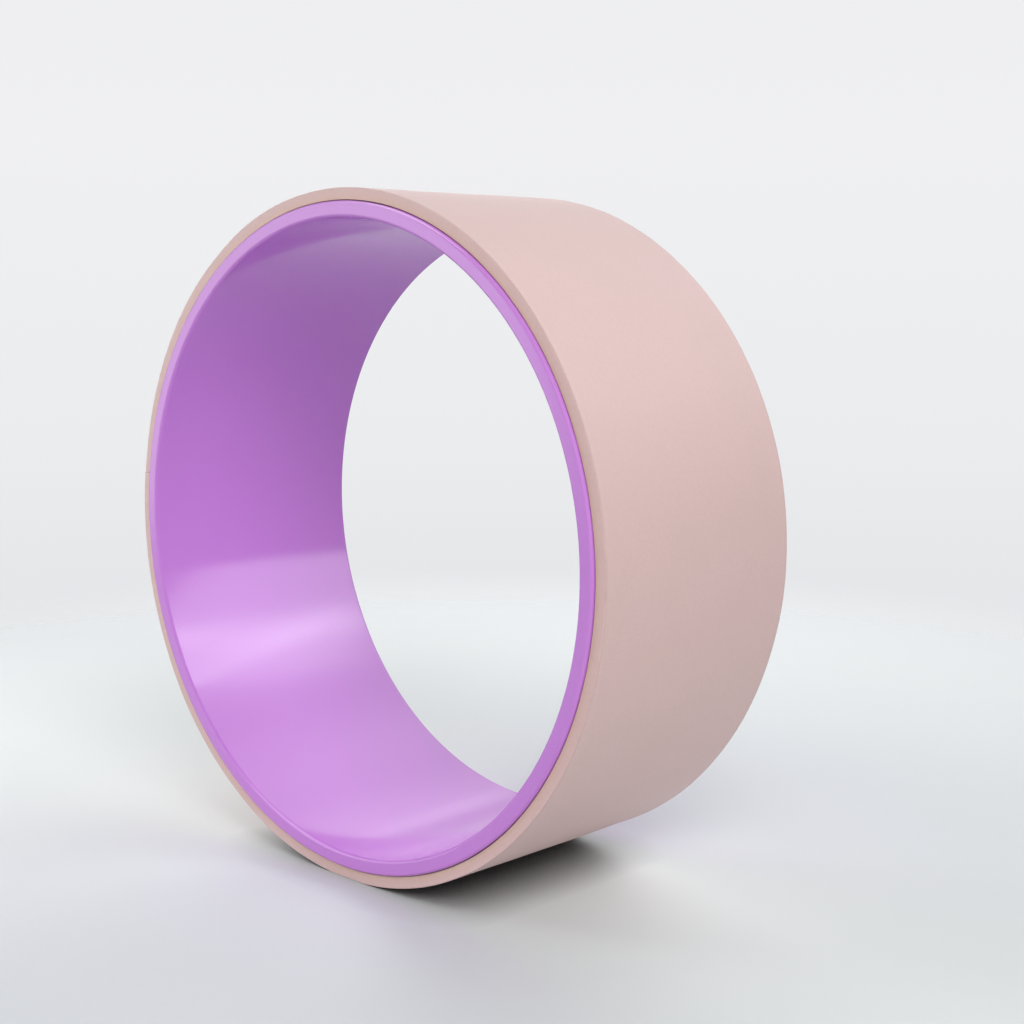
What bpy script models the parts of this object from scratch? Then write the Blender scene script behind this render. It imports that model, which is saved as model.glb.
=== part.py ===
"""Back roller wheel: a rigid plastic hoop with a foam tread bonded round it.

Lengths are metres. The wheel stands on its tread, with +Z up. The origin is the wheel's
centre, its axle line is the Y axis, and -Y is the side that is called the front here.
Angles round the wheel start at +X and grow towards +Z.
"""
from math import cos, pi, radians, sin

import bmesh
import bpy

# Overall sizes
WHEEL_DIAMETER = 0.330
HOOP_WIDTH = 0.130

# Layers, from the outside in
FOAM_THICKNESS = 0.005
FILM_THICKNESS = 0.0004
HOOP_WALL = 0.0075
LAYER_GAP = 0.0003

# How far each layer stops short of the one it is bonded to, at each side of the wheel
TREAD_SETBACK = 0.00175
FILM_SETBACK = 0.002

# Edges
RIM_FILLET = 0.0015
FOAM_EDGE_RADIUS = 0.0004

# The butt seam, where the ends of the foam strip meet
SEAM_ANGLE = radians(172.4)
SEAM_GAP = 0.0003

# The foam gives a little where the wheel stands on it
CONTACT_FLAT_DEPTH = 0.0004
CUTTER_DEPTH = 0.010
CUTTER_MARGIN = 0.010

# Smoothness
FULL_TURN = 2 * pi
TURN_STEPS = 120
RIM_FILLET_STEPS = 4
FOAM_EDGE_STEPS = 2
SHARP_ANGLE = radians(40)

# Radii and half widths that follow from the sizes above
tread_outer = WHEEL_DIAMETER / 2
tread_inner = tread_outer - FOAM_THICKNESS
film_outer = tread_inner - LAYER_GAP
film_inner = film_outer - FILM_THICKNESS
hoop_outer = film_inner - LAYER_GAP
hoop_inner = hoop_outer - HOOP_WALL
hoop_half_width = HOOP_WIDTH / 2
tread_half_width = hoop_half_width - TREAD_SETBACK
film_half_width = tread_half_width - FILM_SETBACK


def clear_scene():
    for thing in list(bpy.data.objects):
        bpy.data.objects.remove(thing, do_unlink=True)


def plain_material(name, colour, roughness):
    material = bpy.data.materials.new(name)
    material.use_nodes = True
    shader = material.node_tree.nodes["Principled BSDF"]
    shader.inputs["Base Color"].default_value = (*colour, 1.0)
    shader.inputs["Roughness"].default_value = roughness
    shader.inputs["Metallic"].default_value = 0.0
    return material


def rounded_corner(radius, y, fillet, first_angle, steps):
    """Points of a quarter circle that rounds the corner at (radius, y) of a layer's section."""
    middle = first_angle + pi / 4
    towards_outside = 1 if cos(middle) > 0 else -1
    towards_back = 1 if sin(middle) > 0 else -1
    centre_radius = radius - towards_outside * fillet
    centre_y = y - towards_back * fillet
    points = []
    for step in range(steps + 1):
        angle = first_angle + step / steps * pi / 2
        points.append((centre_radius + fillet * cos(angle), centre_y + fillet * sin(angle)))
    return points


def layer_section(inner, outer, half_width, inner_fillet, outer_fillet, steps):
    """Section of a layer as (radius, y) points, once round. A fillet of 0 is a sharp corner."""
    corners = (
        (outer, half_width, outer_fillet, 0),
        (inner, half_width, inner_fillet, pi / 2),
        (inner, -half_width, inner_fillet, pi),
        (outer, -half_width, outer_fillet, 3 * pi / 2),
    )
    section = []
    for radius, y, fillet, first_angle in corners:
        if fillet > 0:
            section += rounded_corner(radius, y, fillet, first_angle, steps)
        else:
            section.append((radius, y))
    return section


def turned_layer(name, section, material, parent, start=0.0, sweep=FULL_TURN):
    """Spin a section about the axle line. Less than a full turn leaves a strip with two ends."""
    bm = bmesh.new()
    corners = [bm.verts.new((radius * cos(start), y, radius * sin(start))) for radius, y in section]
    end = bm.faces.new(corners)
    whole_turn = sweep >= FULL_TURN
    if whole_turn:
        bmesh.ops.delete(bm, geom=[end], context="FACES_ONLY")
        spun = list(bm.verts) + list(bm.edges)
    else:
        spun = list(bm.verts) + list(bm.edges) + [end]
    bmesh.ops.spin(
        bm,
        geom=spun,
        cent=(0, 0, 0),
        axis=(0, -1, 0),
        angle=sweep,
        steps=TURN_STEPS,
        use_merge=whole_turn,
    )
    bmesh.ops.recalc_face_normals(bm, faces=bm.faces)

    mesh = bpy.data.meshes.new(name)
    bm.to_mesh(mesh)
    bm.free()
    mesh.shade_smooth()
    mesh.set_sharp_from_angle(angle=SHARP_ANGLE)
    mesh.materials.append(material)
    layer = bpy.data.objects.new(name, mesh)
    bpy.context.scene.collection.objects.link(layer)
    layer.parent = parent
    return layer


def make_hoop(parent):
    plastic = plain_material("purple_abs", (0.50, 0.18, 0.62), 0.22)
    section = layer_section(
        hoop_inner, hoop_outer, hoop_half_width, RIM_FILLET, RIM_FILLET, RIM_FILLET_STEPS
    )
    return turned_layer("hoop", section, plastic, parent)


def make_adhesive_film(parent):
    acrylic = plain_material("clear_acrylic_adhesive", (0.80, 0.76, 0.66), 0.45)
    section = layer_section(film_inner, film_outer, film_half_width, 0, 0, 0)
    return turned_layer("adhesive_film", section, acrylic, parent)


def make_floor_cutter(parent):
    """A block that takes the contact flat off the bottom of the tread."""
    bm = bmesh.new()
    bmesh.ops.create_cube(bm, size=1.0)
    size = (tread_outer, 2 * (tread_half_width + CUTTER_MARGIN), CUTTER_DEPTH)
    bmesh.ops.scale(bm, vec=size, verts=bm.verts)
    mesh = bpy.data.meshes.new("floor_cutter")
    bm.to_mesh(mesh)
    bm.free()
    cutter = bpy.data.objects.new("floor_cutter", mesh)
    bpy.context.scene.collection.objects.link(cutter)
    cutter.parent = parent
    cutter.location = (0, 0, CONTACT_FLAT_DEPTH - tread_outer - CUTTER_DEPTH / 2)
    cutter.hide_render = True
    cutter.display_type = "WIRE"
    return cutter


def make_tread(parent):
    """A foam strip from one side of the butt seam right round to the other."""
    foam = plain_material("pink_tpe_foam", (0.70, 0.50, 0.47), 0.85)
    section = layer_section(
        tread_inner, tread_outer, tread_half_width, 0, FOAM_EDGE_RADIUS, FOAM_EDGE_STEPS
    )
    gap_angle = SEAM_GAP / tread_outer
    start = SEAM_ANGLE + gap_angle / 2
    tread = turned_layer("tread", section, foam, parent, start, FULL_TURN - gap_angle)
    flat = tread.modifiers.new("contact_flat", "BOOLEAN")
    flat.operation = "DIFFERENCE"
    flat.solver = "EXACT"
    flat.object = make_floor_cutter(parent)
    return tread


def make_wheel():
    clear_scene()
    centre = bpy.data.objects.new("wheel_centre", None)
    bpy.context.scene.collection.objects.link(centre)
    make_hoop(centre)
    make_adhesive_film(centre)
    make_tread(centre)


make_wheel()
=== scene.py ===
"""Back roller wheel: the look of its hoop, adhesive film and foam tread, and a studio round it.

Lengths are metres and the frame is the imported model's: the origin is the wheel's centre, its
axle line is the Y axis, -Y is the front, and +Z is up. Angles round the wheel start at +X and
grow towards +Z. Angles round the studio start at +X and grow towards +Y.
"""
import math

import bpy
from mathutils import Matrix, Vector


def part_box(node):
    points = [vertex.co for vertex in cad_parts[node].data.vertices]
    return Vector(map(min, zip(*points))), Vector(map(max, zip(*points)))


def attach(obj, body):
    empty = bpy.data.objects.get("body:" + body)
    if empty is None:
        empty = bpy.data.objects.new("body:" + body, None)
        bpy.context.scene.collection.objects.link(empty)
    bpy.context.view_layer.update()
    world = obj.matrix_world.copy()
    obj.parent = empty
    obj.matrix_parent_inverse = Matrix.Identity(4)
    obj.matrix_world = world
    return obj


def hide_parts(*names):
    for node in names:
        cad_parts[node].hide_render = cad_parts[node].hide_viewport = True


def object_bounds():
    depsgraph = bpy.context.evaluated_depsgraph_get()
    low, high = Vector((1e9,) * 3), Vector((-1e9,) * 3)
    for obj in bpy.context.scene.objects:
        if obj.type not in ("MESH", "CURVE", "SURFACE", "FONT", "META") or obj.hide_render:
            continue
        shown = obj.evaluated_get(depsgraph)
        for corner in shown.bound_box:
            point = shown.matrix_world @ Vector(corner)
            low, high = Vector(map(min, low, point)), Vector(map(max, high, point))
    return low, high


bl_info = {
    "name": "Back Roller Wheel",
    "version": (1, 0, 0),
    "blender": (4, 5, 0),
    "location": "View3D > Sidebar > Back Roller",
    "description": "Makes a back roller wheel round its packed frame, and a pale studio to show it in",
    "category": "Object",
}

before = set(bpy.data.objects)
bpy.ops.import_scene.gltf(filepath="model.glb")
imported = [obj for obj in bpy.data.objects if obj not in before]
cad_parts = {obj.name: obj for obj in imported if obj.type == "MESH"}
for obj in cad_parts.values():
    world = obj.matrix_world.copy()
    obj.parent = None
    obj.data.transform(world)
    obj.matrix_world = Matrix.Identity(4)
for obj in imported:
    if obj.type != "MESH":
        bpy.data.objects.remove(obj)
cad_low, cad_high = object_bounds()

MM = 0.001

# How finely the pieces are cut, round the wheel and across it. An open strip has one more point
# than it has steps.
TURN_STEPS = 480
WIDTH_CUTS = 12
TREAD_WIDTH_CUTS = 24
SHARP_ANGLE = math.radians(60)

# The film's edge
FILM_EDGE_RADIUS = 0.03 * MM

# The foam strip: its last stretch, its waves, its knife-cut sides and its two ends
THINNED_LENGTH = 85 * MM
WAVE_LENGTH = 60 * MM
EDGE_STRAY = 0.2 * MM
WAVE_SEED = 3.0
INNER_EDGE_SHARE = 0.4
END_TOLERANCE = 0.1 * MM

# Where the cut side's colour begins and is full, in from the cut, and where its tan fades out and
# is full, in from the skin
CUT_COLOUR_START = 1.0 * MM
CUT_COLOUR_FULL = 0.4 * MM
TAN_START = 2.0 * MM
TAN_FULL = 5.5 * MM

# Noise seldom leaves the middle half of its range, so this brings it near -1 to 1 once centred
NOISE_GAIN = 4.0


# Sizes read from the frame

def radii(node):
    """Smallest and largest distance of a CAD node's corners from the axle line."""
    distances = [math.hypot(v.co.x, v.co.z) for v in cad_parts[node].data.vertices]
    return min(distances), max(distances)


def width_of(node):
    low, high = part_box(node)
    return high.y - low.y


hoop_inner, hoop_outer = radii("hoop")
tread_outer = radii("tread")[1]


# Colours

def linear(hex_colour):
    """Linear RGBA of an sRGB colour written as "#RRGGBB"."""
    channels = [int(hex_colour[k:k + 2], 16) / 255 for k in (1, 3, 5)]
    return [c / 12.92 if c <= 0.04045 else ((c + 0.055) / 1.055) ** 2.4 for c in channels] + [1.0]


# Settings that a user may change

class HoopSettings(bpy.types.PropertyGroup):
    """The rigid hoop"""

    inner_radius: bpy.props.FloatProperty(
        name="Inner radius",
        description="From the axle line to the hoop's smooth inner wall",
        default=hoop_inner,
        unit="LENGTH",
    )
    outer_radius: bpy.props.FloatProperty(
        name="Outer radius",
        description="From the axle line to the wall that the foam is bonded to",
        default=hoop_outer,
        unit="LENGTH",
    )
    width: bpy.props.FloatProperty(
        name="Width",
        description="From rim face to rim face",
        default=width_of("hoop"),
        unit="LENGTH",
    )
    rim_fillet: bpy.props.FloatProperty(
        name="Rim fillet",
        description="Radius on the four edges of the rims",
        default=1.5 * MM,
        unit="LENGTH",
    )
    colour: bpy.props.FloatVectorProperty(
        name="Colour",
        description="Colour of the plastic",
        default=linear("#C07DD1"),
        size=4,
        min=0,
        max=1,
        subtype="COLOR",
    )


class FilmSettings(bpy.types.PropertyGroup):
    """The adhesive film under the foam"""

    clearance: bpy.props.FloatProperty(
        name="Clearance",
        description="Between the film and what it bonds, on each side",
        default=0.03 * MM,
        unit="LENGTH",
    )
    width: bpy.props.FloatProperty(
        name="Width",
        description="Width of the film, which stops short of the foam's edges",
        default=width_of("adhesive_film"),
        unit="LENGTH",
    )
    # The purple is the plastic showing through the clear film. Its darkness is painted shade of the deep
    # joint.
    colour: bpy.props.FloatVectorProperty(
        name="Colour",
        description="Colour of the set adhesive, with the purple plastic showing through",
        default=linear("#8F6A9C"),
        size=4,
        min=0,
        max=1,
        subtype="COLOR",
    )


class TreadSettings(bpy.types.PropertyGroup):
    """The foam strip that is wrapped round the hoop"""

    bond_line: bpy.props.FloatProperty(
        name="Bond line",
        description="Room for the adhesive film between the hoop and the foam",
        default=0.38 * MM,
        unit="LENGTH",
    )
    outer_radius: bpy.props.FloatProperty(
        name="Outer radius",
        description="From the axle line to the face that rolls",
        default=tread_outer,
        unit="LENGTH",
    )
    width: bpy.props.FloatProperty(
        name="Width",
        description="Width of the foam strip",
        default=width_of("tread"),
        unit="LENGTH",
    )
    edge_radius: bpy.props.FloatProperty(
        name="Edge radius",
        description="Rounding of the cut edges of the strip",
        default=0.4 * MM,
        unit="LENGTH",
    )
    seam_angle: bpy.props.FloatProperty(
        name="Seam angle",
        description="Where the two ends of the strip meet, round the wheel",
        default=math.radians(172.4),
        unit="ROTATION",
    )
    seam_gap: bpy.props.FloatProperty(
        name="Seam gap",
        description="Gap between the two ends of the strip",
        default=0.3 * MM,
        unit="LENGTH",
    )
    end_thinning: bpy.props.FloatProperty(
        name="End thinning",
        description="How much thinner the last end is, where the strip was stretched to close the seam",
        default=0.5 * MM,
        unit="LENGTH",
    )
    wave_height: bpy.props.FloatProperty(
        name="Wave height",
        description="How far the soft face strays from a true cylinder",
        default=0.2 * MM,
        unit="LENGTH",
    )
    colour: bpy.props.FloatVectorProperty(
        name="Colour",
        description="Colour of the foam's skin",
        default=linear("#DABCB9"),
        size=4,
        min=0,
        max=1,
        subtype="COLOR",
    )
    cut_colour: bpy.props.FloatVectorProperty(
        name="Cut colour",
        description="Colour of the foam where the strip was cut",
        default=linear("#CEAFA9"),
        size=4,
        min=0,
        max=1,
        subtype="COLOR",
    )


class StudioSettings(bpy.types.PropertyGroup):
    """The floor, the background and the lights"""

    floor_colour: bpy.props.FloatVectorProperty(
        name="Floor colour",
        description="Colour of the painted floor",
        default=linear("#D8DDDE"),
        size=4,
        min=0,
        max=1,
        subtype="COLOR",
    )
    lens: bpy.props.FloatProperty(
        name="Lens",
        description="Focal length on a 36 mm wide sensor",
        default=58.814,
        unit="CAMERA",
    )


class WheelSettings(bpy.types.PropertyGroup):
    """All settings of the back roller wheel"""

    hoop: bpy.props.PointerProperty(type=HoopSettings)
    film: bpy.props.PointerProperty(type=FilmSettings)
    tread: bpy.props.PointerProperty(type=TreadSettings)
    studio: bpy.props.PointerProperty(type=StudioSettings)


# Node trees

def add_node(tree, kind, inputs=None, **settings):
    """Add a node with its settings. An input is given a value, or linked to another node's output."""
    node = tree.nodes.new(kind)
    for name, value in settings.items():
        setattr(node, name, value)
    for key, value in (inputs or {}).items():
        if isinstance(value, bpy.types.NodeSocket):
            tree.links.new(value, node.inputs[key])
        else:
            node.inputs[key].default_value = value
    return node


def new_geometry_tree(name, inputs):
    """An empty geometry tree with its named inputs, and the node that gives their values."""
    tree = bpy.data.node_groups.new(name, "GeometryNodeTree")
    tree.is_modifier = True
    tree.interface.new_socket("Geometry", in_out="OUTPUT", socket_type="NodeSocketGeometry")
    for label, kind in inputs.items():
        tree.interface.new_socket(label, in_out="INPUT", socket_type=f"NodeSocket{kind}")
    return tree, tree.nodes.new("NodeGroupInput").outputs


def add_section(tree, sizes):
    """A layer's rectangular section, and the mean radius that it is swept at.

    The sides that run across the wheel are cut into short pieces. The others stay whole.
    """
    wall = add_node(
        tree, "ShaderNodeMath", {0: sizes["Outer Radius"], 1: sizes["Inner Radius"]}, operation="SUBTRACT"
    )
    total = add_node(tree, "ShaderNodeMath", {0: sizes["Outer Radius"], 1: sizes["Inner Radius"]})
    mean = add_node(tree, "ShaderNodeMath", {0: total.outputs[0], 1: 0.5}, operation="MULTIPLY")
    rectangle = add_node(
        tree,
        "GeometryNodeCurvePrimitiveQuadrilateral",
        {"Width": wall.outputs[0], "Height": sizes["Width"]},
    )
    index = add_node(tree, "GeometryNodeInputIndex")
    across = add_node(tree, "ShaderNodeMath", {0: index.outputs[0], 1: 2.0}, operation="MODULO")
    cuts = add_node(
        tree, "ShaderNodeMath", {0: across.outputs[0], 1: sizes["Side Cuts"]}, operation="MULTIPLY"
    )
    section = add_node(
        tree, "GeometryNodeSubdivideCurve", {"Curve": rectangle.outputs[0], "Cuts": cuts.outputs[0]}
    )
    return section.outputs[0], mean.outputs[0]


def stand_up(tree, geometry):
    """Turn what was swept in the XY plane so that its axis lies along Y."""
    turned = add_node(
        tree, "GeometryNodeTransform", {"Geometry": geometry, "Rotation": (math.pi / 2, 0, 0)}
    )
    return turned.outputs[0]


def mark_edges(tree, geometry, weight):
    """Give the layer's sharp edges the weight that its Bevel modifier reads."""
    angle = add_node(tree, "GeometryNodeInputMeshEdgeAngle")
    sharp = add_node(
        tree,
        "ShaderNodeMath",
        {0: angle.outputs["Unsigned Angle"], 1: SHARP_ANGLE},
        operation="GREATER_THAN",
    )
    share = add_node(tree, "ShaderNodeMath", {0: sharp.outputs[0], 1: weight}, operation="MULTIPLY")
    marked = add_node(
        tree,
        "GeometryNodeStoreNamedAttribute",
        {"Geometry": geometry, "Name": "bevel_weight_edge", "Value": share.outputs[0]},
        data_type="FLOAT",
        domain="EDGE",
    )
    return marked.outputs[0]


def finish_tree(tree, geometry, material):
    smooth = add_node(tree, "GeometryNodeSetShadeSmooth", {"Geometry": geometry})
    real = add_node(tree, "GeometryNodeRealizeInstances", {"Geometry": smooth.outputs[0]})
    covered = add_node(
        tree, "GeometryNodeSetMaterial", {"Geometry": real.outputs[0], "Material": material}
    )
    add_node(tree, "NodeGroupOutput", {"Geometry": covered.outputs[0]})


def ring_tree():
    """A closed ring of rectangular section, for the hoop and the film."""
    tree, sizes = new_geometry_tree(
        "turned_ring",
        {
            "Inner Radius": "Float",
            "Outer Radius": "Float",
            "Width": "Float",
            "Turn Steps": "Int",
            "Side Cuts": "Int",
            "Material": "Material",
        },
    )
    section, mean = add_section(tree, sizes)
    path = add_node(
        tree, "GeometryNodeCurvePrimitiveCircle", {"Resolution": sizes["Turn Steps"], "Radius": mean}
    )
    ring = add_node(
        tree, "GeometryNodeCurveToMesh", {"Curve": path.outputs[0], "Profile Curve": section}
    )
    standing = stand_up(tree, ring.outputs[0])
    finish_tree(tree, mark_edges(tree, standing, 1.0), sizes["Material"])
    return tree


def strip_tree():
    """A foam strip wrapped once round the wheel, from one side of its seam to the other."""
    tree, sizes = new_geometry_tree(
        "wrapped_strip",
        {
            "Inner Radius": "Float",
            "Outer Radius": "Float",
            "Width": "Float",
            "Turn Steps": "Int",
            "Side Cuts": "Int",
            "Seam Angle": "Float",
            "Seam Gap": "Float",
            "End Thinning": "Float",
            "Thinned Length": "Float",
            "Wave Height": "Float",
            "Wave Length": "Float",
            "Edge Stray": "Float",
            "Seed": "Float",
            "Floor Height": "Float",
            "Inner Edge Share": "Float",
            "Material": "Material",
        },
    )
    section, mean = add_section(tree, sizes)
    gap = add_node(
        tree, "ShaderNodeMath", {0: sizes["Seam Gap"], 1: sizes["Outer Radius"]}, operation="DIVIDE"
    )
    start = add_node(
        tree,
        "ShaderNodeMath",
        {0: gap.outputs[0], 1: 0.5, 2: sizes["Seam Angle"]},
        operation="MULTIPLY_ADD",
    )
    sweep = add_node(tree, "ShaderNodeMath", {0: math.tau, 1: gap.outputs[0]}, operation="SUBTRACT")
    path = add_node(
        tree,
        "GeometryNodeCurveArc",
        {
            "Resolution": sizes["Turn Steps"],
            "Radius": mean,
            "Start Angle": start.outputs[0],
            "Sweep Angle": sweep.outputs[0],
        },
    )
    along = add_node(tree, "GeometryNodeSplineParameter")
    whole = add_node(tree, "GeometryNodeCurveLength", {"Curve": path.outputs[0]})
    to_end = add_node(
        tree, "ShaderNodeMath", {0: whole.outputs[0], 1: along.outputs["Length"]}, operation="SUBTRACT"
    )
    measured = tree.nodes.new("GeometryNodeCaptureAttribute")
    measured.capture_items.new("FLOAT", "To End")
    tree.links.new(path.outputs[0], measured.inputs["Geometry"])
    tree.links.new(to_end.outputs[0], measured.inputs["To End"])
    strip = add_node(
        tree,
        "GeometryNodeCurveToMesh",
        {"Curve": measured.outputs["Geometry"], "Profile Curve": section, "Fill Caps": True},
    )
    standing = stand_up(tree, strip.outputs[0])

    place = add_node(tree, "GeometryNodeInputPosition")
    outward = add_node(
        tree, "ShaderNodeVectorMath", {0: place.outputs[0], 1: (1, 0, 1)}, operation="MULTIPLY"
    )
    radius = add_node(tree, "ShaderNodeVectorMath", {0: outward.outputs[0]}, operation="LENGTH")
    direction = add_node(tree, "ShaderNodeVectorMath", {0: outward.outputs[0]}, operation="NORMALIZE")
    depth = add_node(
        tree,
        "ShaderNodeMapRange",
        {
            "Value": radius.outputs["Value"],
            "From Min": sizes["Inner Radius"],
            "From Max": sizes["Outer Radius"],
        },
    )

    pitch = add_node(tree, "ShaderNodeMath", {0: 1.0, 1: sizes["Wave Length"]}, operation="DIVIDE")
    noise = add_node(
        tree,
        "ShaderNodeTexNoise",
        {"W": sizes["Seed"], "Scale": pitch.outputs[0], "Detail": 1.0, "Vector": place.outputs[0]},
        noise_dimensions="4D",
    )
    waves = add_node(
        tree,
        "ShaderNodeVectorMath",
        {0: noise.outputs["Color"], 1: (0.5, 0.5, 0.5)},
        operation="SUBTRACT",
    )
    wave = add_node(tree, "ShaderNodeSeparateXYZ", {0: waves.outputs[0]})
    swell = add_node(
        tree, "ShaderNodeMath", {0: wave.outputs["X"], 1: sizes["Wave Height"]}, operation="MULTIPLY"
    )
    thinned = add_node(
        tree, "ShaderNodeMath", {0: sizes["End Thinning"], 1: -1.0}, operation="MULTIPLY"
    )
    dip = add_node(
        tree,
        "ShaderNodeMapRange",
        {
            "Value": measured.outputs["To End"],
            "From Min": 0.0,
            "From Max": sizes["Thinned Length"],
            "To Min": thinned.outputs[0],
            "To Max": 0.0,
        },
        interpolation_type="SMOOTHSTEP",
    )
    rise = add_node(
        tree,
        "ShaderNodeMath",
        {0: swell.outputs[0], 1: NOISE_GAIN, 2: dip.outputs[0]},
        operation="MULTIPLY_ADD",
    )
    outer_rise = add_node(
        tree, "ShaderNodeMath", {0: rise.outputs[0], 1: depth.outputs[0]}, operation="MULTIPLY"
    )
    raised = add_node(
        tree,
        "ShaderNodeVectorMath",
        {0: direction.outputs[0], "Scale": outer_rise.outputs[0]},
        operation="SCALE",
    )

    half_width = add_node(tree, "ShaderNodeMath", {0: sizes["Width"], 1: 0.5}, operation="MULTIPLY")
    across = add_node(tree, "ShaderNodeSeparateXYZ", {0: place.outputs[0]})
    side = add_node(
        tree, "ShaderNodeMath", {0: across.outputs["Y"], 1: half_width.outputs[0]}, operation="DIVIDE"
    )
    stray = add_node(
        tree, "ShaderNodeMath", {0: wave.outputs["Y"], 1: sizes["Edge Stray"]}, operation="MULTIPLY"
    )
    wander = add_node(
        tree, "ShaderNodeMath", {0: stray.outputs[0], 1: NOISE_GAIN}, operation="MULTIPLY"
    )
    aside = add_node(
        tree, "ShaderNodeMath", {0: wander.outputs[0], 1: side.outputs[0]}, operation="MULTIPLY"
    )
    sideways = add_node(tree, "ShaderNodeCombineXYZ", {"Y": aside.outputs[0]})
    offset = add_node(tree, "ShaderNodeVectorMath", {0: raised.outputs[0], 1: sideways.outputs[0]})
    shaped = add_node(
        tree, "GeometryNodeSetPosition", {"Geometry": standing, "Offset": offset.outputs[0]}
    )

    settled_place = add_node(tree, "GeometryNodeInputPosition")
    floor = add_node(
        tree, "ShaderNodeCombineXYZ", {"X": -1.0, "Y": -1.0, "Z": sizes["Floor Height"]}
    )
    above = add_node(
        tree,
        "ShaderNodeVectorMath",
        {0: settled_place.outputs[0], 1: floor.outputs[0]},
        operation="MAXIMUM",
    )
    settled = add_node(
        tree,
        "GeometryNodeSetPosition",
        {"Geometry": shaped.outputs[0], "Position": above.outputs[0]},
    )
    corner = add_node(
        tree,
        "ShaderNodeMapRange",
        {"Value": depth.outputs[0], "To Min": sizes["Inner Edge Share"], "To Max": 1.0},
    )
    at_last_end = add_node(
        tree,
        "ShaderNodeMath",
        {0: measured.outputs["To End"], 1: END_TOLERANCE},
        operation="LESS_THAN",
    )
    past_first = add_node(
        tree, "ShaderNodeMath", {0: whole.outputs[0], 1: END_TOLERANCE}, operation="SUBTRACT"
    )
    at_first_end = add_node(
        tree,
        "ShaderNodeMath",
        {0: measured.outputs["To End"], 1: past_first.outputs[0]},
        operation="GREATER_THAN",
    )
    at_seam = add_node(
        tree,
        "ShaderNodeMath",
        {0: at_last_end.outputs[0], 1: at_first_end.outputs[0]},
        operation="MAXIMUM",
    )
    rounding = add_node(
        tree, "ShaderNodeMath", {0: corner.outputs[0], 1: at_seam.outputs[0]}, operation="MAXIMUM"
    )
    finish_tree(tree, mark_edges(tree, settled.outputs[0], rounding.outputs[0]), sizes["Material"])
    return tree


def make_layer(name, tree, sizes, edge_radius, edge_steps):
    """Run a tree on a new object, round its edges and leave the result as a plain mesh."""
    base = bpy.data.meshes.new(name + "_base")
    layer = bpy.data.objects.new(name, base)
    bpy.context.scene.collection.objects.link(layer)
    shape = layer.modifiers.new("shape", "NODES")
    shape.node_group = tree
    for socket in tree.interface.items_tree:
        if socket.in_out == "INPUT":
            shape[socket.identifier] = sizes[socket.name]
    bevel = layer.modifiers.new("rounded_edges", "BEVEL")
    bevel.width = edge_radius
    bevel.segments = edge_steps
    bevel.limit_method = "WEIGHT"
    bevel.use_clamp_overlap = False
    even = layer.modifiers.new("even_shading", "WEIGHTED_NORMAL")
    even.mode = "FACE_AREA"
    even.weight = 100

    evaluated = layer.evaluated_get(bpy.context.evaluated_depsgraph_get())
    mesh = bpy.data.meshes.new_from_object(evaluated)
    mesh.name = name
    if not mesh.polygons:
        raise RuntimeError(f"{name} has no faces")
    layer.modifiers.clear()
    layer.data = mesh
    bpy.data.meshes.remove(base)
    return layer


# Materials

def new_material(name):
    """An empty material, its node tree and its output."""
    material = bpy.data.materials.new(name)
    material.use_nodes = True
    tree = material.node_tree
    tree.nodes.clear()
    return material, tree, tree.nodes.new("ShaderNodeOutputMaterial")


def shifted(colour, scales):
    """A colour with red, green and blue each scaled a little, for the tones that a pattern mixes."""
    return [channel * scale for channel, scale in zip(colour, scales)] + [1.0]


def moulded_abs(settings):
    """Injection-moulded ABS, polished.

    The eye sees one deep colour under a clear, slightly soft reflection. The reflection bends
    a little where the wall sank as it cooled, and fine handling marks dull it here and there.
    """
    material, tree, output = new_material("moulded_abs")
    place = add_node(tree, "ShaderNodeTexCoord").outputs["Object"]
    flow = add_node(
        tree, "ShaderNodeTexNoise", {"Vector": place, "Scale": 1 / (70 * MM), "Detail": 2.0}
    )
    tone = add_node(
        tree,
        "ShaderNodeMix",
        {
            "Factor": flow.outputs["Fac"],
            "A": shifted(settings.colour, (0.985, 0.97, 0.985)),
            "B": shifted(settings.colour, (1.015, 1.03, 1.015)),
        },
        data_type="RGBA",
    )
    handling = add_node(
        tree,
        "ShaderNodeTexNoise",
        {"Vector": place, "Scale": 1 / (9 * MM), "Detail": 4.0, "Roughness": 0.6},
    )
    polish = add_node(
        tree,
        "ShaderNodeMapRange",
        {
            "Value": handling.outputs["Fac"],
            "From Min": 0.3,
            "From Max": 0.8,
            "To Min": 0.11,
            "To Max": 0.14,
        },
    )
    sink = add_node(
        tree, "ShaderNodeTexNoise", {"Vector": place, "Scale": 1 / (24 * MM), "Detail": 1.0}
    )
    sunk = add_node(
        tree,
        "ShaderNodeBump",
        {"Height": sink.outputs["Fac"], "Strength": 1.0, "Distance": 0.02 * MM},
    )
    peel = add_node(
        tree, "ShaderNodeTexNoise", {"Vector": place, "Scale": 1 / (1.6 * MM), "Detail": 1.0}
    )
    surface = add_node(
        tree,
        "ShaderNodeBump",
        {
            "Height": peel.outputs["Fac"],
            "Strength": 1.0,
            "Distance": 0.002 * MM,
            "Normal": sunk.outputs["Normal"],
        },
    )
    shader = add_node(
        tree,
        "ShaderNodeBsdfPrincipled",
        {
            "Base Color": tone.outputs["Result"],
            "Roughness": polish.outputs["Result"],
            "IOR": 1.5,
            "Normal": surface.outputs["Normal"],
        },
    )
    tree.links.new(shader.outputs[0], output.inputs["Surface"])
    return material


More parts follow.
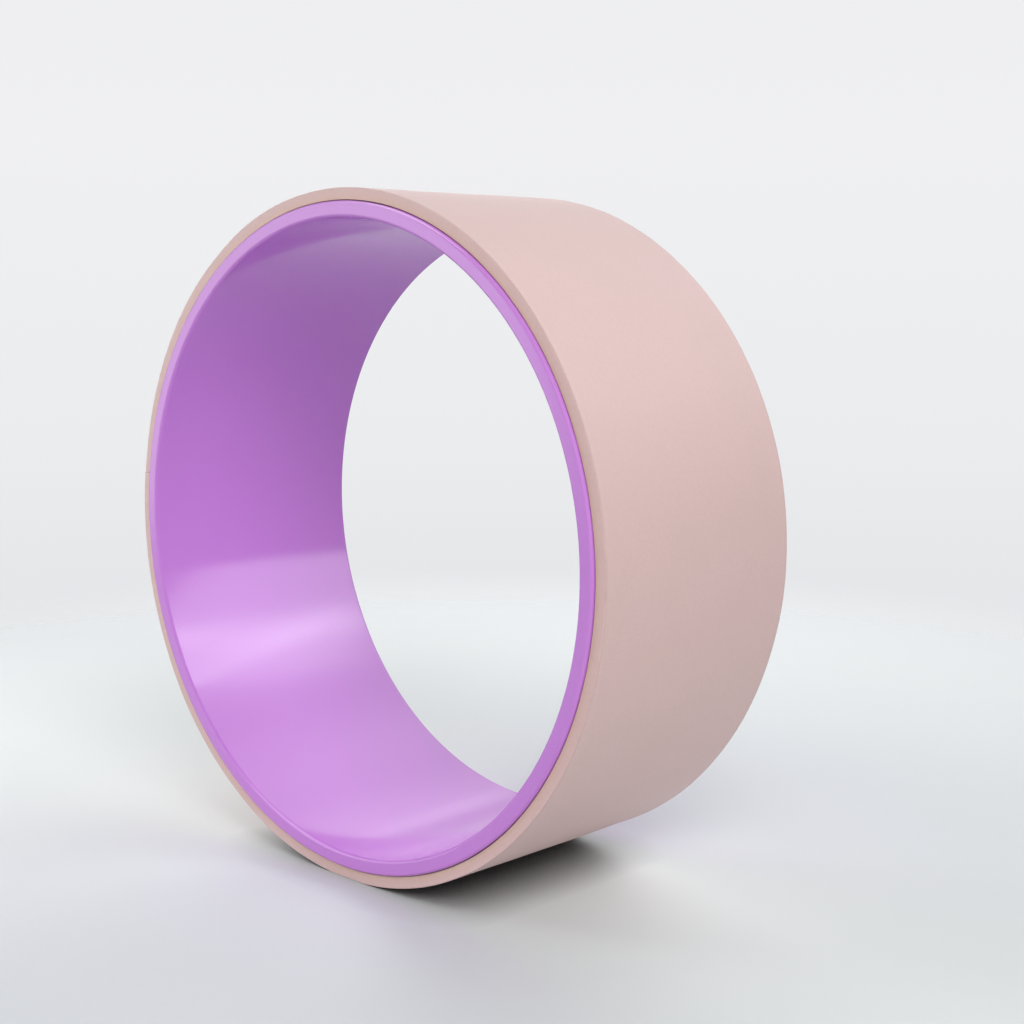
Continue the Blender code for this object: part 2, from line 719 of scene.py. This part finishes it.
def acrylic_film(settings):
    """Clear acrylic transfer tape, set.

    Only its edge could be seen, deep in the joint: a dull, cloudy line that takes on the
    purple of the plastic under it. Its colour is darker than that plastic, which is painted
    shade of the deep joint.
    """
    material, tree, output = new_material("acrylic_film")
    place = add_node(tree, "ShaderNodeTexCoord").outputs["Object"]
    cloud = add_node(
        tree, "ShaderNodeTexNoise", {"Vector": place, "Scale": 1 / (4 * MM), "Detail": 3.0}
    )
    tone = add_node(
        tree,
        "ShaderNodeMix",
        {
            "Factor": cloud.outputs["Fac"],
            "A": shifted(settings.colour, (0.9, 0.88, 0.84)),
            "B": shifted(settings.colour, (1.05, 1.05, 1.05)),
        },
        data_type="RGBA",
    )
    shader = add_node(
        tree,
        "ShaderNodeBsdfPrincipled",
        {"Base Color": tone.outputs["Result"], "Roughness": 0.45, "IOR": 1.47},
    )
    tree.links.new(shader.outputs[0], output.inputs["Surface"])
    return material


def tpe_foam(settings):
    """Closed-cell TPE foam with a moulded skin, knife-cut at the sides.

    The skin is matt and dusty, with a soft mottle and fine closed pores. The cut sides are
    duller, and a little tanner beside the hoop than at the skin.
    """
    material, tree, output = new_material("tpe_foam")
    place = add_node(tree, "ShaderNodeTexCoord").outputs["Object"]
    across = add_node(tree, "ShaderNodeSeparateXYZ", {0: place})
    from_middle = add_node(tree, "ShaderNodeMath", {0: across.outputs["Y"]}, operation="ABSOLUTE")
    cut = add_node(
        tree,
        "ShaderNodeMapRange",
        {
            "Value": from_middle.outputs[0],
            "From Min": settings.width / 2 - CUT_COLOUR_START,
            "From Max": settings.width / 2 - CUT_COLOUR_FULL,
        },
    )

    mottle = add_node(
        tree, "ShaderNodeTexNoise", {"Vector": place, "Scale": 1 / (32 * MM), "Detail": 2.0}
    )
    skin = add_node(
        tree,
        "ShaderNodeMix",
        {
            "Factor": mottle.outputs["Fac"],
            "A": shifted(settings.colour, (0.98, 0.995, 0.97)),
            "B": shifted(settings.colour, (1.02, 1.005, 1.03)),
        },
        data_type="RGBA",
    )
    outward = add_node(
        tree, "ShaderNodeVectorMath", {0: place, 1: (1, 0, 1)}, operation="MULTIPLY"
    )
    radius = add_node(tree, "ShaderNodeVectorMath", {0: outward.outputs[0]}, operation="LENGTH")
    depth = add_node(
        tree,
        "ShaderNodeMapRange",
        {
            "Value": radius.outputs["Value"],
            "From Min": settings.outer_radius - TAN_FULL,
            "From Max": settings.outer_radius - TAN_START,
        },
    )
    core = add_node(
        tree,
        "ShaderNodeMix",
        {
            "Factor": depth.outputs["Result"],
            "A": shifted(settings.cut_colour, (1.02, 1.0, 0.88)),
            "B": shifted(settings.cut_colour, (1.0, 1.0, 1.03)),
        },
        data_type="RGBA",
    )
    layered = add_node(
        tree,
        "ShaderNodeMix",
        {
            "Factor": cut.outputs["Result"],
            "A": skin.outputs["Result"],
            "B": core.outputs["Result"],
        },
        data_type="RGBA",
    )
    grain = add_node(
        tree, "ShaderNodeTexNoise", {"Vector": place, "Scale": 1 / (1.2 * MM), "Detail": 3.0}
    )
    speckle = add_node(
        tree,
        "ShaderNodeMapRange",
        {
            "Value": grain.outputs["Fac"],
            "From Min": 0.3,
            "From Max": 0.7,
            "To Min": 0.975,
            "To Max": 1.02,
        },
    )
    tone = add_node(
        tree,
        "ShaderNodeVectorMath",
        {0: layered.outputs["Result"], "Scale": speckle.outputs["Result"]},
        operation="SCALE",
    )
    cells = add_node(
        tree, "ShaderNodeTexVoronoi", {"Vector": place, "Scale": 1 / (0.9 * MM)}
    )
    relief = add_node(
        tree,
        "ShaderNodeMix",
        {2: grain.outputs["Fac"], 3: cells.outputs["Distance"], "Factor": 0.5},
    )
    bump = add_node(
        tree,
        "ShaderNodeBump",
        {"Height": relief.outputs[0], "Strength": 1.0, "Distance": 0.05 * MM},
    )
    shader = add_node(
        tree,
        "ShaderNodeBsdfPrincipled",
        {
            "Base Color": tone.outputs[0],
            "Roughness": 0.55,
            "IOR": 1.45,
            "Normal": bump.outputs["Normal"],
            "Sheen Weight": 0.1,
            "Sheen Roughness": 0.5,
        },
    )
    tree.links.new(shader.outputs[0], output.inputs["Surface"])
    return material


def painted_floor(settings):
    """Matt white-painted board. It fades out into the background before its edge shows.

    Close to the tread its colour is darkened by ambient occlusion. This painted shade makes the
    narrow wedge between the board and the tread nearly black, darker than the lamps alone make it.
    """
    material, tree, output = new_material("painted_floor")
    place = add_node(tree, "ShaderNodeTexCoord").outputs["Object"]
    paint = add_node(
        tree, "ShaderNodeTexNoise", {"Vector": place, "Scale": 1 / (300 * MM), "Detail": 1.0}
    )
    tone = add_node(
        tree,
        "ShaderNodeMix",
        {
            "Factor": paint.outputs["Fac"],
            "A": shifted(settings.floor_colour, (0.99, 0.99, 1.0)),
            "B": shifted(settings.floor_colour, (1.01, 1.01, 1.0)),
        },
        data_type="RGBA",
    )
    # Painted shade: the board's colour is darkened by ambient occlusion close to the tread.
    painted_shade_occlusion = add_node(tree, "ShaderNodeAmbientOcclusion", {"Distance": PAINTED_SHADE_REACH}, samples=8)
    painted_shade_factor = add_node(
        tree, "ShaderNodeMath", {0: painted_shade_occlusion.outputs["AO"], 1: PAINTED_SHADE_POWER}, operation="POWER"
    )
    shaded = add_node(
        tree,
        "ShaderNodeVectorMath",
        {0: tone.outputs["Result"], "Scale": painted_shade_factor.outputs[0]},
        operation="SCALE",
    )
    board = add_node(
        tree, "ShaderNodeBsdfPrincipled", {"Base Color": shaded.outputs[0], "Roughness": 0.8}
    )
    flat_place = add_node(
        tree, "ShaderNodeVectorMath", {0: place, 1: (1, 1, 0)}, operation="MULTIPLY"
    )
    distance = add_node(tree, "ShaderNodeVectorMath", {0: flat_place.outputs[0]}, operation="LENGTH")
    fade = add_node(
        tree,
        "ShaderNodeMapRange",
        {
            "Value": distance.outputs["Value"],
            "From Min": FLOOR_FADE_START,
            "From Max": FLOOR_FADE_END,
        },
        interpolation_type="SMOOTHSTEP",
    )
    clear = add_node(tree, "ShaderNodeBsdfTransparent")
    mixed = add_node(
        tree,
        "ShaderNodeMixShader",
        {0: fade.outputs["Result"], 1: board.outputs[0], 2: clear.outputs[0]},
    )
    tree.links.new(mixed.outputs[0], output.inputs["Surface"])
    return material


# Studio

CAMERA_PLACE = Vector((0.60281, -0.56841, 0.11582))
CAMERA_FORWARD = Vector((-0.69103, 0.71130, -0.12858))

# Name, azimuth, elevation, distance, width, height, power, feather, part of the surface that it lights
SOFT_BOXES = (
    ("window", 44, 28, 1.6, 0.42, 1.06, 4.5, 0.08, "gloss"),
    ("window_left_pane", 41, 31, 1.58, 0.22, 0.24, 0.3, 1.0, "gloss"),
    ("window_heart", 45, 32, 1.59, 0.60, 0.50, 1.9, 1.0, "both"),
    ("window_right", 54, 31, 1.58, 0.40, 0.60, 3.6, 1.0, "gloss"),
    ("window_right_high", 58, 40, 1.58, 0.45, 0.45, 1.4, 1.0, "gloss"),
    ("window_glow", 55, 42, 1.61, 1.10, 0.90, 4.9, 1.0, "both"),
    ("back_glow", 95, 45, 1.66, 2.80, 1.70, 10.1, 1.0, "both"),
    ("back_gloss", 95, 45, 1.68, 2.80, 1.70, 17.9, 1.0, "gloss"),
    ("back_left", 137, 28, 1.6, 1.40, 1.10, 4.1, 1.0, "both"),
    ("back_left_low", 134, 18, 1.59, 0.55, 0.40, 0.4, 1.0, "gloss"),
    ("front_left", 220, 12, 1.6, 0.80, 1.30, 4.8, 0.3, "gloss"),
    ("front_left_near", 222, 30, 1.2, 0.60, 0.60, 1.6, 0.5, "both"),
    ("front_high", 225, 56, 1.6, 1.30, 0.80, 19.9, 0.5, "gloss"),
    ("front", 235, 5, 1.7, 1.80, 1.00, 4.9, 1.0, "both"),
    ("fill_back_high", 90, 35, 1.6, 1.00, 0.80, 6.3, 0.0, "matt"),
    ("fill_back_low", 120, 10, 1.6, 0.80, 0.70, 14.3, 0.0, "matt"),
    ("fill_back_left_low", 147, 12, 1.6, 0.60, 0.50, 8.3, 0.0, "matt"),
    ("fill_left_near", 208, 10, 0.85, 0.50, 0.50, 3.1, 0.0, "matt"),
    ("fill_camera_side", 305, 20, 1.8, 1.00, 0.80, 9.9, 0.0, "matt"),
    ("fill_front_right", 330, 35, 1.6, 0.80, 0.70, 13.2, 0.0, "matt"),
    ("fill_front_right_low", 330, 10, 1.6, 0.80, 0.70, 2.4, 0.0, "matt"),
)
FLOOR_RADIUS = 1.4
FLOOR_SIDES = 96
FLOOR_FADE_START = 0.35
FLOOR_FADE_END = 0.9
# Painted shade under the tread: how far the ambient occlusion that darkens the floor's colour
# reaches, and the power that its openness is raised to
PAINTED_SHADE_REACH = 25 * MM
PAINTED_SHADE_POWER = 0.5
BACKGROUND_TONES = (
    (-25, "#D8D9DC"),
    (-12, "#E3E4E7"),
    (-5, "#EBECEE"),
    (5, "#F0F0F2"),
    (12, "#EEEEF0"),
)


def make_camera(settings):
    camera = bpy.data.objects.new("camera", bpy.data.cameras.new("camera"))
    camera.data.sensor_width = 36.0
    camera.data.lens = settings.lens
    camera.location = CAMERA_PLACE
    camera.rotation_mode = "QUATERNION"
    camera.rotation_quaternion = CAMERA_FORWARD.to_track_quat("-Z", "Y")
    bpy.context.scene.collection.objects.link(camera)
    bpy.context.scene.camera = camera


def feather_lamp(lamp, share):
    """Let a lamp's light fall off smoothly towards its edges, over a share of its half width."""
    lamp.use_nodes = True
    tree = lamp.node_tree
    tree.nodes.clear()
    place = add_node(tree, "ShaderNodeNewGeometry").outputs["Parametric"]
    axes = add_node(tree, "ShaderNodeSeparateXYZ", {0: place})
    fades = []
    for axis in ("X", "Y"):
        from_middle = add_node(
            tree, "ShaderNodeMath", {0: axes.outputs[axis], 1: 0.5}, operation="SUBTRACT"
        )
        distance = add_node(tree, "ShaderNodeMath", {0: from_middle.outputs[0]}, operation="ABSOLUTE")
        fade = add_node(
            tree,
            "ShaderNodeMapRange",
            {
                "Value": distance.outputs[0],
                "From Min": 0.5 * (1 - share),
                "From Max": 0.5,
                "To Min": 1.0,
                "To Max": 0.0,
            },
            interpolation_type="SMOOTHSTEP",
        )
        fades.append(fade.outputs["Result"])
    strength = add_node(tree, "ShaderNodeMath", {0: fades[0], 1: fades[1]}, operation="MULTIPLY")
    light = add_node(tree, "ShaderNodeEmission", {"Strength": strength.outputs[0]})
    add_node(tree, "ShaderNodeOutputLight", {"Surface": light.outputs[0]})


def add_soft_box(name, azimuth, elevation, distance, width, height, power, feather, part):
    """A rectangular lamp that faces the wheel's centre, seen in the direction of the two angles.

    It lights both matt and glossy surfaces, or only the "matt" or the "gloss" part of them.
    """
    lamp = bpy.data.lights.new(name, "AREA")
    lamp.shape = "RECTANGLE"
    lamp.size = width
    lamp.size_y = height
    lamp.energy = power
    box = bpy.data.objects.new(name, lamp)
    a, e = math.radians(azimuth), math.radians(elevation)
    outward = Vector((math.cos(a) * math.cos(e), math.sin(a) * math.cos(e), math.sin(e)))
    box.location = outward * distance
    box.rotation_mode = "QUATERNION"
    box.rotation_quaternion = (-outward).to_track_quat("-Z", "Y")
    if feather > 0:
        feather_lamp(lamp, feather)
    box.visible_camera = False
    box.visible_diffuse = part != "gloss"
    box.visible_glossy = part != "matt"
    bpy.context.scene.collection.objects.link(box)


def make_world():
    """Pale background for the camera, for reflections and through glass. It lights no matt surface."""
    world = bpy.data.worlds.new("studio")
    bpy.context.scene.world = world
    world.use_nodes = True
    tree = world.node_tree
    tree.nodes.clear()
    direction = add_node(tree, "ShaderNodeTexCoord").outputs["Generated"]
    height = add_node(tree, "ShaderNodeSeparateXYZ", {0: direction})
    angle = add_node(tree, "ShaderNodeMath", {0: height.outputs["Z"]}, operation="ARCSINE")
    lowest, highest = BACKGROUND_TONES[0][0], BACKGROUND_TONES[-1][0]
    share = add_node(
        tree,
        "ShaderNodeMapRange",
        {
            "Value": angle.outputs[0],
            "From Min": math.radians(lowest),
            "From Max": math.radians(highest),
        },
    )
    ramp = add_node(tree, "ShaderNodeValToRGB", {"Fac": share.outputs["Result"]})
    stops = ramp.color_ramp.elements
    stops[0].color = linear(BACKGROUND_TONES[0][1])
    stops[1].color = linear(BACKGROUND_TONES[-1][1])
    for degrees, tone in BACKGROUND_TONES[1:-1]:
        stop = stops.new((degrees - lowest) / (highest - lowest))
        stop.color = linear(tone)
    ray = add_node(tree, "ShaderNodeLightPath")
    seen = add_node(
        tree,
        "ShaderNodeMath",
        {0: ray.outputs["Is Camera Ray"], 1: ray.outputs["Is Glossy Ray"]},
        operation="MAXIMUM",
    )
    shown = add_node(
        tree,
        "ShaderNodeMath",
        {0: seen.outputs[0], 1: ray.outputs["Is Transmission Ray"]},
        operation="MAXIMUM",
    )
    background = add_node(
        tree, "ShaderNodeBackground", {"Color": ramp.outputs["Color"], "Strength": shown.outputs[0]}
    )
    add_node(tree, "ShaderNodeOutputWorld", {"Surface": background.outputs[0]})


def make_floor(settings):
    corners = []
    for k in range(FLOOR_SIDES):
        a = k / FLOOR_SIDES * math.tau
        corners.append((FLOOR_RADIUS * math.cos(a), FLOOR_RADIUS * math.sin(a), cad_low.z))
    mesh = bpy.data.meshes.new("floor")
    mesh.from_pydata(corners, [], [range(FLOOR_SIDES)])
    mesh.materials.append(painted_floor(settings))
    floor = bpy.data.objects.new("floor", mesh)
    bpy.context.scene.collection.objects.link(floor)


# Operators

class BACKROLLER_OT_hoop(bpy.types.Operator):
    """Make the glossy plastic hoop"""

    bl_idname = "back_roller.hoop"
    bl_label = "Hoop"

    def execute(self, context):
        settings = context.scene.back_roller.hoop
        sizes = {
            "Inner Radius": settings.inner_radius,
            "Outer Radius": settings.outer_radius,
            "Width": settings.width,
            "Turn Steps": TURN_STEPS,
            "Side Cuts": WIDTH_CUTS,
            "Material": moulded_abs(settings),
        }
        hoop = make_layer(
            "moulded_hoop", ring_tree(), sizes, edge_radius=settings.rim_fillet, edge_steps=8
        )
        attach(hoop, "root")
        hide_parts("hoop")
        return {"FINISHED"}


class BACKROLLER_OT_film(bpy.types.Operator):
    """Make the adhesive film between the hoop and the foam"""

    bl_idname = "back_roller.film"
    bl_label = "Adhesive film"

    def execute(self, context):
        wheel = context.scene.back_roller
        settings = wheel.film
        bonded = wheel.hoop.outer_radius
        sizes = {
            "Inner Radius": bonded + settings.clearance,
            "Outer Radius": bonded + wheel.tread.bond_line - settings.clearance,
            "Width": settings.width,
            "Turn Steps": TURN_STEPS,
            "Side Cuts": WIDTH_CUTS,
            "Material": acrylic_film(settings),
        }
        film = make_layer(
            "bonding_film", ring_tree(), sizes, edge_radius=FILM_EDGE_RADIUS, edge_steps=2
        )
        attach(film, "root")
        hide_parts("adhesive_film")
        return {"FINISHED"}


class BACKROLLER_OT_tread(bpy.types.Operator):
    """Make the foam strip that is wrapped round the hoop"""

    bl_idname = "back_roller.tread"
    bl_label = "Foam tread"

    def execute(self, context):
        wheel = context.scene.back_roller
        settings = wheel.tread
        sizes = {
            "Inner Radius": wheel.hoop.outer_radius + settings.bond_line,
            "Outer Radius": settings.outer_radius,
            "Width": settings.width,
            "Turn Steps": TURN_STEPS + 1,
            "Side Cuts": TREAD_WIDTH_CUTS,
            "Seam Angle": settings.seam_angle,
            "Seam Gap": settings.seam_gap,
            "End Thinning": settings.end_thinning,
            "Thinned Length": THINNED_LENGTH,
            "Wave Height": settings.wave_height,
            "Wave Length": WAVE_LENGTH,
            "Edge Stray": EDGE_STRAY,
            "Seed": WAVE_SEED,
            "Floor Height": cad_low.z,
            "Inner Edge Share": INNER_EDGE_SHARE,
            "Material": tpe_foam(settings),
        }
        tread = make_layer(
            "foam_tread", strip_tree(), sizes, edge_radius=settings.edge_radius, edge_steps=4
        )
        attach(tread, "root")
        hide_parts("tread")
        return {"FINISHED"}


class BACKROLLER_OT_studio(bpy.types.Operator):
    """Make the floor, the background, the lights and the camera"""

    bl_idname = "back_roller.studio"
    bl_label = "Studio"

    def execute(self, context):
        settings = context.scene.back_roller.studio
        make_floor(settings)
        make_world()
        for soft_box in SOFT_BOXES:
            add_soft_box(*soft_box)
        make_camera(settings)
        context.scene.view_settings.view_transform = "Standard"
        return {"FINISHED"}


class BACKROLLER_PT_parts(bpy.types.Panel):
    """The wheel's parts and their settings"""

    bl_label = "Back Roller"
    bl_space_type = "VIEW_3D"
    bl_region_type = "UI"
    bl_category = "Back Roller"

    def draw(self, context):
        wheel = context.scene.back_roller
        rows = (
            (BACKROLLER_OT_hoop, wheel.hoop),
            (BACKROLLER_OT_film, wheel.film),
            (BACKROLLER_OT_tread, wheel.tread),
            (BACKROLLER_OT_studio, wheel.studio),
        )
        for operator, settings in rows:
            box = self.layout.box()
            box.operator(operator.bl_idname)
            for name in type(settings).__annotations__:
                box.prop(settings, name)


CLASSES = (
    HoopSettings,
    FilmSettings,
    TreadSettings,
    StudioSettings,
    WheelSettings,
    BACKROLLER_OT_hoop,
    BACKROLLER_OT_film,
    BACKROLLER_OT_tread,
    BACKROLLER_OT_studio,
    BACKROLLER_PT_parts,
)


def register():
    for kind in CLASSES:
        bpy.utils.register_class(kind)
    bpy.types.Scene.back_roller = bpy.props.PointerProperty(type=WheelSettings)


def unregister():
    del bpy.types.Scene.back_roller
    for kind in reversed(CLASSES):
        bpy.utils.unregister_class(kind)


def main():
    register()
    bpy.ops.back_roller.hoop()
    bpy.ops.back_roller.film()
    bpy.ops.back_roller.tread()
    bpy.ops.back_roller.studio()


if __name__ == "__main__":
    main()
